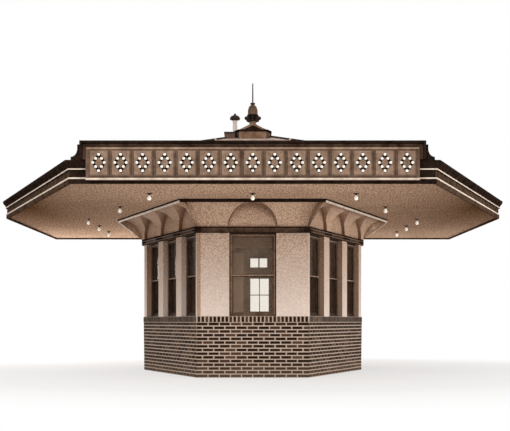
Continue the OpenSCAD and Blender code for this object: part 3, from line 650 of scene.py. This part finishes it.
def strip(out0, out1, z0, z1):
    return [(out0, z0), (out1, z0), (out1, z1), (out0, z1)]


# Brickwork of the dado: bricks stand a little proud of wide pale joints
bricks = {
    "course": 0.0716,
    "height": 0.05,
    "pitch": 0.2165,
    "joint": 0.022,
    "proud": 0.004,
    "bed": 0.002,
    "chamfer": 0.0025,
    "wobble": 0.0012,
}
# Bricks on edge: the sill course, and the soles they make under the windows
rowlocks = {
    "pitch": 0.0765,
    "width": 0.052,
    "out": 0.015,
    "proud": 0.005,
    "aboveDado": 0.004,
    "belowSill": 0.006,
    "soleGap": 0.012,
    "soleOut": 0.013,
    "soleLow": 0.004,
    "soleRise": 0.007,
}


def slip(heap, i, u0, u1, z0, z1, base, proud, ends=(0, 0)):
    # One brick face on wall i; ends run on past a corner by a share of how far it stands out
    c, back, wobble = bricks["chamfer"], base - bricks["bed"], bricks["wobble"]
    shift = [draw.uniform(-wobble, wobble) for k in range(5)]
    u0, u1, z0, z1 = u0 + shift[0], u1 + shift[1], z0 + shift[2], z1 + shift[3]
    front = base + proud + shift[4]

    def ring(out, inset):
        a = u0 - ends[0] * out + (inset if not ends[0] else 0)
        b = u1 + ends[1] * out - (inset if not ends[1] else 0)
        return [onWall(i, a, out, z0 + inset), onWall(i, b, out, z0 + inset),
                onWall(i, b, out, z1 - inset), onWall(i, a, out, z1 - inset)]

    heap.rings([ring(back, 0), ring(front - c, 0), ring(front, c)], draw.random())


def layCourses(heap, i, a, b, first, last):
    # Stretchers from a to b on wall i; first and last are the mitres at its ends
    count = round(dadoTop / bricks["course"])
    course, gap = dadoTop / count, bricks["joint"] / 2
    pitch = (b - a) / max(1, round((b - a) / bricks["pitch"]))
    near = 0.001  # a brick this close to an end is the last one there
    for row in range(count):
        z0 = row * course + (course - bricks["height"]) / 2
        u = a - (pitch / 2 if row % 2 else 0)
        while u < b - near:
            u0, u1 = max(u, a), min(u + pitch, b)
            atStart, atEnd = u0 < a + near, u1 > b - near
            ends = (first if atStart else 0, last if atEnd else 0)
            slip(heap, i, u0 + (0 if ends[0] else gap), u1 - (0 if ends[1] else gap),
                 z0, z0 + bricks["height"], 0, bricks["proud"], ends)
            u += pitch


def laySillCourse(heap, i, a, b):
    number = round((b - a) / rowlocks["pitch"])
    pitch, half = (b - a) / number, rowlocks["width"] / 2
    low, high = dadoTop + rowlocks["aboveDado"], sillTop - rowlocks["belowSill"]
    for k in range(number):
        middle = a + (k + 0.5) * pitch
        slip(heap, i, middle - half, middle + half, low, high, rowlocks["out"], rowlocks["proud"])


def layWindowSole(heap, i, start):
    number = round(windowWidth / rowlocks["pitch"])
    pitch, gap, low = windowWidth / number, rowlocks["soleGap"], sillTop - rowlocks["soleLow"]
    for k in range(number):
        a, b = start + k * pitch + gap, start + (k + 1) * pitch - gap
        heap.block(i, a, b, rowlocks["soleOut"], -revealDepth, low, low + rowlocks["soleRise"], draw.random())


def layBricks():
    courses, sills = Heap(), Heap()
    for i in range(6):
        spans = [(0, sideLen(i), mitre(i, 0), mitre(i, 1))]
        if i == 3:
            spans = [(0, doorStart, mitre(i, 0), 0), (doorEnd, sideLen(i), 0, mitre(i, 1))]
        for span in spans:
            layCourses(courses, i, *span)
            laySillCourse(sills, i, *span[:2])
        for start in windowStarts[i]:
            layWindowSole(sills, i, start)
    courses.make("brickCourses", "brickClay", "brick")
    sills.make("brickSills", "brickClay", "brick")


layBricks()
print("bricks laid")

# Darker strip of stucco at the left corner of the front wall
cornerStrip = {"width": 0.07, "bed": 0.002, "proud": 0.004, "ends": 0.001}


def stuccoStrip():
    heap, look = Heap(), cornerStrip
    z0, z1 = sillTop + look["ends"], headZ - look["ends"]
    heap.block(0, 0, look["width"], -look["bed"], look["proud"], z0, z1)
    heap.make("stuccoCornerStrip", "revealStucco", "stucco")


stuccoStrip()

# Cream fillets round the canopy's edge: foot and rise of each, its back and its face
fillets = {
    "low": {"foot": 3.453, "rise": 0.026, "back": -0.004, "face": 0.026},
    "high": {"foot": 3.605, "rise": 0.021, "back": 0.02, "face": 0.036},
}


def dressCanopyEdge():
    heap = Heap()
    for fillet in fillets.values():
        foot = fillet["foot"]
        sweep(heap, canopyLine, strip(fillet["back"], fillet["face"], foot, foot + fillet["rise"]))
    heap.make("canopyFillets", "creamTrim", "cream_trim")


dressCanopyEdge()

# Dark line under the soffit round the slanted, side and rear coves
coveShadow = {"back": 0.03, "face": 0.04, "drop": 0.03, "rise": 0.001}


def dressCoveEdge():
    heap = Heap()
    low, high = soffitZ - coveShadow["drop"], soffitZ + coveShadow["rise"]
    sweep(heap, coveLine, strip(coveShadow["back"], coveShadow["face"], low, high), [1, 2, 3, 4, 5])
    heap.make("coveShadowTrim", "darkTrim", "dark_trim")


dressCoveEdge()

# Round heads of the lunettes, the line drawn round the front one, and the plaster feet between the others
lunettes = {"past": 0.015, "belowSoffit": 0.012, "line": 0.008, "lineStep": 6}
plasterFeet = {"proud": 0.052, "bed": 0.006, "steps": 8, "walls": (1, 2, 3, 4, 5)}
lunetteRadius = windowWidth / 2 + lunettes["past"]
coveRise = soffitZ - springZ - lunettes["belowSoffit"]


def coveOut(run, up):
    # How far the sweep of a cove stands out at this height above the band
    return run * (1 - math.sqrt(1 - (up / coveRise) ** 2))


def groinLine():
    heap, line = Heap(), []
    for a in range(3, 178, lunettes["lineStep"]):
        up = lunetteRadius * math.sin(math.radians(a))
        u = halfFront + lunetteRadius * math.cos(math.radians(a))
        line.append(onWall(0, u, coveOut(coveRun["front"], up), springZ + up))
    heap.tube(line, lunettes["line"], 6, -inward(0))
    heap.make("groinLine", "tanTrim", "cove_plaster")


def plasterFoot(heap, i, before, after):
    # One foot on wall i between two lunettes, or from a lunette to the mitred corner where one is None
    proud, steps = plasterFeet["proud"], plasterFeet["steps"]
    run = coveRun[sideKinds[i]]
    top = coveRise * math.sqrt(1 - (1 - proud / run) ** 2)
    rings = []
    for n in range(steps + 1):
        up = top * n / steps
        half = math.sqrt(lunetteRadius ** 2 - up ** 2)
        ends = []
        for out in (proud, coveOut(run, up) - plasterFeet["bed"]):
            u0 = -mitre(i, 0) * out if before is None else before + half
            u1 = sideLen(i) + mitre(i, 1) * out if after is None else after - half
            ends.append((onWall(i, u0, out, springZ + up), onWall(i, u1, out, springZ + up)))
        rings.append([ends[0][0], ends[0][1], ends[1][1], ends[1][0]])
    heap.rings(rings)


def covePendentives():
    heap = Heap()
    for i in plasterFeet["walls"]:
        middles = [start + windowWidth / 2 for start in windowStarts[i]]
        if i == 3:
            middles = sorted(middles + [doorStart + doorWidth / 2])
        bounds = [None] + middles + [None]
        for before, after in zip(bounds, bounds[1:]):
            atFront = (i == 1 and before is None) or (i == 5 and after is None)
            if not atFront:
                plasterFoot(heap, i, before, after)
    heap.make("covePendentives", "shadedCovePlaster", "cove_plaster")


groinLine()
covePendentives()

# Band over the windows: tan fillets on all walls but the front, dark edges all round
band = {
    "filletFace": 0.058,
    "filletRows": ((0.014, 0.024), (0.072, 0.082)),
    "topFace": 0.034,
    "topRow": (0.024, 0.002),
    "lowFace": 0.033,
    "lowRow": (0.001, 0.012),
}


def dressBand():
    tan, dark = Heap(), Heap()
    for i in (1, 2, 3, 4, 5):
        for low, high in band["filletRows"]:
            sweep(tan, kioskLine, strip(0.0, band["filletFace"], headZ + low, headZ + high), [i])
    tan.make("bandFillets", "tanTrim", "dark_trim")
    down0, down1 = band["topRow"]
    sweep(dark, kioskLine, strip(0.0, band["topFace"], springZ - down0, springZ - down1))
    up0, up1 = band["lowRow"]
    sweep(dark, kioskLine, strip(0.0, band["lowFace"], headZ + up0, headZ + up1))
    dark.make("bandEdges", "darkTrim", "dark_trim")


dressBand()

# Pale lines of putty and paint on the windows, the dark joint round each frame and a painted shadow under
# each meeting rail
sashLines = {
    "frame": 0.04,
    "line": 0.009,
    "joint": 0.012,
    "meeting": 1.978,
    "meetingRise": 0.014,
    "meetingShade": 0.012,
    "meetingEnds": 0.002,
    "bed": 0.002,
    "proud": 0.004,
    "recess": 0.006,
    "shadeRecess": 0.004,
    "ends": 0.001,
}


def dressWindow(pale, dark, i, start):
    look, end = sashLines, start + windowWidth
    edge, line, joint, ends, recess = [look[k] for k in ("frame", "line", "joint", "ends", "recess")]
    out0, out1 = -revealDepth - look["bed"], -revealDepth + look["proud"]
    z0, z1 = sillTop + edge, headZ - edge
    bar0, bar1, short = look["meeting"], look["meeting"] + look["meetingRise"], look["meetingEnds"]
    for u in (start + edge - line, end - edge):
        pale.block(i, u, u + line, out0, out1, z0, z1)
    pale.block(i, start + edge - line, end - edge + line, out0, out1, z1, z1 + line)
    pale.block(i, start + edge + short, end - edge - short, out0 - recess, out1 - recess, bar0, bar1)
    for u in (start + ends, end - ends - joint):
        dark.block(i, u, u + joint, out0, out1, sillTop + ends, headZ - ends)
    dark.block(i, start + ends, end - ends, out0, out1 + ends, headZ - ends - joint, headZ - ends)
    # Painted shadow under the meeting rail
    dark.block(i, start + edge, end - edge, out0 - recess, out1 - look["shadeRecess"],
               bar0 - look["meetingShade"], bar0)


def dressWindows():
    pale, dark = Heap(), Heap()
    for i in range(6):
        for start in windowStarts[i]:
            dressWindow(pale, dark, i, start)
    pale.make("windowPaintLines", "beadTan", "cream_trim")
    dark.make("windowJointsAndRailShadow", "darkTrim", "joinery")


dressWindows()

# Wood sash round the two small panes of the transom over the door
transom = {
    "left": -0.059,
    "right": 0.36,
    "low": 2.44,
    "high": 2.665,
    "middle": 0.155,
    "bar": 0.032,
    "depth": 0.022,
    "bed": 0.001,
}


def transomSash():
    heap, bed, depth = Heap(), transom["bed"], transom["depth"]
    left, right, low, high, middle = [transom[k] for k in ("left", "right", "low", "high", "middle")]
    half = transom["bar"] / 2
    glassLow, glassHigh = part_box("transom_glass")
    x0, x1, z0, z1 = glassLow.x + bed, glassHigh.x - bed, glassLow.z + bed, glassHigh.z - bed
    for y0, y1 in ((glassLow.y - depth, glassLow.y + bed), (glassHigh.y - bed, glassHigh.y + depth)):
        heap.box((x0, y0, z0), (left, y1, z1))
        heap.box((right, y0, z0), (x1, y1, z1))
        heap.box((left, y0, z0), (right, y1, low))
        heap.box((left, y0, high), (right, y1, z1))
        heap.box((middle - half, y0, low), (middle + half, y1, high))
    heap.make("transomSash", "joinery", "joinery")


transomSash()

# Sign board: battens and a shelf round each lamp panel, beads above and below, bulbs in a lozenge
sign = {
    "panels": 15,
    "panelWidth": 0.29,
    "bed": 0.002,
    "bead": {"rise": 0.03, "proud": 0.02},
    "topBead": {"inset": 0.01, "proud": 0.014, "low": 0.03, "high": 0.014},
    "batten": {"width": 0.014, "before": 0.02, "after": 0.006, "proud": 0.02, "low": 0.02, "high": 0.012},
    "shelf": {"past": 0.02, "proud": 0.028, "low": 0.022, "high": 0.004},
    "lozenge": {"width": 0.0945, "height": 0.1345, "outer": 1.3, "inner": 0.7},
    "bulb": {"radius": 0.025, "neck": (0.011, 0.012), "middle": 0.042, "onSide": 2, "around": 12},
    "socket": [(0.021, -0.002), (0.021, 0.006), (0.014, 0.01), (0.014, 0.02)],
}
signLow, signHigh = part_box("sign_board")
panelLow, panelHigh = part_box("sign_panels")


def lampPanel(battens, floors, sockets, bulbs, x0):
    # Trim, channels, sockets and bulbs of the panel that starts at x0
    face, bed, width = signLow.y, sign["bed"], sign["panelWidth"]
    z0, z1 = panelLow.z, panelHigh.z
    batten, shelf, lozenge, bulb = sign["batten"], sign["shelf"], sign["lozenge"], sign["bulb"]
    for x in (x0 - batten["before"], x0 + width + batten["after"]):
        battens.box((x, face - batten["proud"], z0 - batten["low"]),
                    (x + batten["width"], face + bed, z1 + batten["high"]))
    battens.box((x0 - shelf["past"], face - shelf["proud"], z0 - shelf["low"]),
                (x0 + width + shelf["past"], face + bed, z0 - shelf["high"]))
    middle = Vector((x0 + width / 2, face, (z0 + z1) / 2))
    wide, high, outer, inner = lozenge.values()
    tips = [Vector((0, 0, -high)), Vector((wide, 0, 0)), Vector((0, 0, high)), Vector((-wide, 0, 0))]
    sides = list(zip(tips, tips[1:] + tips[:1]))
    for start, end in sides:
        corners = [start * outer, end * outer, end * inner, start * inner]
        floors.rings([[middle + c + Vector((0, y, 0)) for c in corners] for y in (bed, -bed)])
    radius, turns = bulb["radius"], [math.radians(a) for a in range(30, 175, 24)]
    pear = [bulb["neck"]] + [(radius * math.sin(t), bulb["middle"] - radius * math.cos(t)) for t in turns]
    ahead = Vector((0, -1, 0))
    for start, end in sides:
        for m in range(bulb["onSide"]):
            at = middle + start.lerp(end, m / bulb["onSide"])
            sockets.turned(at, ahead, sign["socket"], bulb["around"])
            bulbs.turned(at, ahead, pear, bulb["around"])


def dressSign():
    face, bed, bead, topBead = signLow.y, sign["bed"], sign["bead"], sign["topBead"]
    pale, tan, battens, bulbs, sockets, floors = Heap(), Heap(), Heap(), Heap(), Heap(), Heap()
    pale.box((signLow.x, face - bead["proud"], signLow.z), (signHigh.x, face + bed, signLow.z + bead["rise"]))
    tan.box((signLow.x + topBead["inset"], face - topBead["proud"], signHigh.z - topBead["low"]),
            (signHigh.x - topBead["inset"], face + bed, signHigh.z - topBead["high"]))
    pitch = (panelHigh.x - panelLow.x - sign["panelWidth"]) / (sign["panels"] - 1)
    for k in range(sign["panels"]):
        lampPanel(battens, floors, sockets, bulbs, panelLow.x + k * pitch)
    pale.make("signBead", "creamTrim", "cream_trim")
    tan.make("signTopBead", "beadTan", "sign_ground")
    battens.make("signBattens", "signGround", "sign_ground")
    sockets.make("signSockets", "darkTrim", "dark_trim")
    floors.make("signChannels", "darkTrim", "dark_trim")
    bulbs.make("signBulbs", "signBulbGlass", "bulb_glass", smooth=True)


dressSign()
print("trim and sign dressed")

# Roof sheets with standing seams up each slope and a rolled edge along the eaves
seams = {"pitch": 0.46, "width": 0.014, "rise": 0.022, "bed": 0.004, "short": 0.03, "step": 0.004}
eavesRoll = {"back": 0.04, "face": 0.088, "low": 0.006, "high": 0.0005}
# Top of the slopes under the cupola: half widths, and distances behind the front wall
roofTop = {"frontHalf": 0.2496, "half": 0.32, "near": 0.83, "turn": 1.0081, "far": 1.67}
# Plan of what stands on the roof: x from and to, then from and to behind the front wall
roofStands = {"cupola": (-0.365, 0.365, 0.38, 1.72), "ventBox": (-0.58, -0.33, 0.395, 0.8)}
flue = {"x": -0.376, "behind": 2.0, "clear": 0.09}


def roofHub():
    # Corners of the flat ring at the top of the slopes
    front, half, near, turn, far = roofTop.values()
    points = [(-front, near), (front, near), (half, turn), (half, far), (-half, far), (-half, turn)]
    return [Vector((x, frontY + y)) for x, y in points]


def roofTaken(p):
    y = p.y - frontY
    stands = any(x0 < p.x < x1 and y0 < y < y1 for x0, x1, y0, y1 in roofStands.values())
    return stands or (Vector((p.x, y)) - Vector((flue["x"], flue["behind"]))).length < flue["clear"]


def freeSpans(onSlope, reach):
    # Stretches of a seam, as shares of the slope, that nothing on the roof stands on
    step = seams["step"]
    shares = [step + step * n for n in range(round(1 / step))]
    free = [s for s in shares if s < reach and not roofTaken(onSlope(s))]
    spans, start = [], None
    for s, after in zip(free, free[1:] + [9]):
        start = s if start is None else start
        if after - s > 1.5 * step:
            spans.append((start, s))
            start = None
    return [(s0, s1) for s0, s1 in spans if s1 - s0 > seams["short"]]


def seamSlope(heap, a, b, hubA, hubB):
    # Seams of the slope over the eaves from a to b
    rise = hubZ - eavesZ
    run = (b - a).normalized()
    into = Vector((-run.y, run.x))
    depth, length = (hubA - a).dot(into), (b - a).length
    left, right = (hubA - a).dot(run), (hubB - a).dot(run)
    normal = Vector((-into.x * rise, -into.y * rise, depth)).normalized()
    across = Vector((run.x, run.y, 0)) * (seams["width"] / 2)
    count = max(2, round(length / seams["pitch"]))
    for k in range(1, count):
        u, reach = length * k / count, 1.0
        if u < left:
            reach = u / left - seams["short"]
        elif u > right:
            reach = (length - u) / (length - right) - seams["short"]

        def onSlope(share):
            return a + run * u + into * (depth * share)

        for span in freeSpans(onSlope, reach):
            ends = [Vector((*onSlope(s), eavesZ + rise * s)) - normal * seams["bed"] for s in span]
            heap.bar(*ends, across, normal * seams["rise"])


def roofSeams():
    heap, eaves, hub = Heap(), canopyLine(0), roofHub()
    for i in range(6):
        j = (i + 1) % 6
        seamSlope(heap, eaves[i], eaves[j], hub[i], hub[j])
    heap.make("roofSeams", "roofSheets", "roofing")
    edge = Heap()
    low, high = eavesZ - eavesRoll["low"], eavesZ - eavesRoll["high"]
    sweep(edge, canopyLine, strip(eavesRoll["back"], eavesRoll["face"], low, high))
    edge.make("eavesEdge", "roofIron", "roof_iron")


roofSeams()

# Pale saddles that hold the hip rolls down, and the collar where the flue comes through the roof
straps = {"places": (0.2, 0.42, 0.64, 0.82), "radius": 0.036, "length": 0.05, "around": 16}
collar = {"drop": 0.16, "profile": [(0.085, 0), (0.085, 0.1), (0.056, 0.2), (0.0495, 0.2)], "around": 20}


def hipStraps():
    heap, length = Heap(), straps["length"]
    for a, b in zip(canopyLine(0), roofHub()):
        foot, top = Vector((a.x, a.y, eavesZ)), Vector((b.x, b.y, hubZ))
        ahead = (top - foot).normalized()
        for share in straps["places"]:
            start = foot.lerp(top, share) - ahead * (length / 2)
            heap.turned(start, ahead, [(straps["radius"], 0), (straps["radius"], length)], straps["around"])
    heap.make("hipStraps", "galvanised", "galvanised")


def roofFlashings():
    heap = Heap()
    foot = Vector((flue["x"], frontY + flue["behind"], hubZ - collar["drop"]))
    heap.turned(foot, Vector((0, 0, 1)), collar["profile"], collar["around"])
    heap.make("roofFlashings", "galvanised", "galvanised")


hipStraps()
roofFlashings()
print("roof dressed")

# Pale floor that goes over into the white backdrop some way from the building
ground = {
    "size": 160,
    "place": (0, 20, -0.002),
    "tone": (0.78, 0.76, 0.74, 1),
    "fade": (7.0, 11.0),
    "white": (0.6, 1.0),
}
# Name, place, goal, size and power of each lamp
skyLight = {
    "level": 0.78,
    "tone": (1, 0.985, 0.965, 1),
    "lamps": [
        ("keyLamp", (-9, -24, 12), (0, -1, 2.2), 12, 2200),
        ("rightLamp", (17, -10, 2.4), (1, -1, 2.0), 4, 1380),
        ("rearLamp", (-7, 9.5, 0.3), (-3.5, 1, 3.4), 6, 1200),
        ("farLamp", (6, 10, 0.3), (3, 1, 3.4), 6, 350),
    ],
}


def layFloor():
    bpy.ops.mesh.primitive_plane_add(size=ground["size"], location=ground["place"])
    floor = bpy.context.object
    floor.name = "studioFloor"
    paint = Paint("studioFloor")
    paint.shader.inputs["Base Color"].default_value = ground["tone"]
    paint.shader.inputs["Roughness"].default_value = 0.95
    seen = paint.node("ShaderNodeLightPath").outputs["Is Camera Ray"]
    glow = paint.node("ShaderNodeEmission", {"Color": (1, 1, 1, 1), "Strength": 1.0}).outputs[0]
    place = paint.node("ShaderNodeNewGeometry").outputs["Position"]
    reach = paint.node("ShaderNodeVectorMath", {"Vector": place}, operation="LENGTH").outputs["Value"]
    share = paint.maths("MULTIPLY", seen, paint.between(reach, *ground["fade"], *ground["white"]))
    joined = paint.node("ShaderNodeMixShader", {0: share, 1: paint.shader.outputs[0], 2: glow})
    paint.tree.links.new(joined.outputs[0], paint.tree.nodes["Material Output"].inputs[0])
    floor.data.materials.append(paint.material)


def lightSky():
    # The camera and glossy rays see plain white, everything else the sky's own level
    world = bpy.data.worlds.new("studioSky")
    bpy.context.scene.world = world
    world.use_nodes = True
    tree = world.node_tree
    sky = tree.nodes["Background"]
    sky.inputs["Color"].default_value = skyLight["tone"]
    sky.inputs["Strength"].default_value = skyLight["level"]
    plain = tree.nodes.new("ShaderNodeBackground")
    plain.inputs["Color"].default_value = (1, 1, 1, 1)
    path = tree.nodes.new("ShaderNodeLightPath")
    mixed = tree.nodes.new("ShaderNodeMixShader")
    most = tree.nodes.new("ShaderNodeMath")
    most.operation = "MAXIMUM"
    for start, end in (
        (path.outputs["Is Camera Ray"], most.inputs[0]),
        (path.outputs["Is Glossy Ray"], most.inputs[1]),
        (most.outputs[0], mixed.inputs[0]),
        (sky.outputs[0], mixed.inputs[1]),
        (plain.outputs[0], mixed.inputs[2]),
        (mixed.outputs[0], tree.nodes["World Output"].inputs[0]),
    ):
        tree.links.new(start, end)


def hangLamps():
    for name, place, goal, size, power in skyLight["lamps"]:
        data = bpy.data.lights.new(name, "AREA")
        data.size = size
        data.energy = power
        lamp = bpy.data.objects.new(name, data)
        lamp.location = place
        lamp.rotation_euler = (Vector(goal) - Vector(place)).to_track_quat("-Z", "Y").to_euler()
        lamp.visible_camera = False
        bpy.context.scene.collection.objects.link(lamp)


layFloor()
lightSky()
hangLamps()
print("studio lit")

# Photograph's view: straight ahead from 24 m in front, at eye height
view = {"place": (0, -24.030, 1.097), "lens": 76.4, "right": 0.0044, "up": 0.2069}


def setView():
    data = bpy.data.cameras.new("photoCamera")
    data.lens = view["lens"]
    data.sensor_width = 36
    data.shift_x, data.shift_y = view["right"], view["up"]
    data.clip_end = 500
    camera = bpy.data.objects.new("photoCamera", data)
    camera.location = view["place"]
    camera.rotation_euler = (math.radians(90), 0, 0)
    scene = bpy.context.scene
    scene.collection.objects.link(camera)
    scene.camera = camera
    scene.view_settings.view_transform = "Standard"


setView()
print("view set")
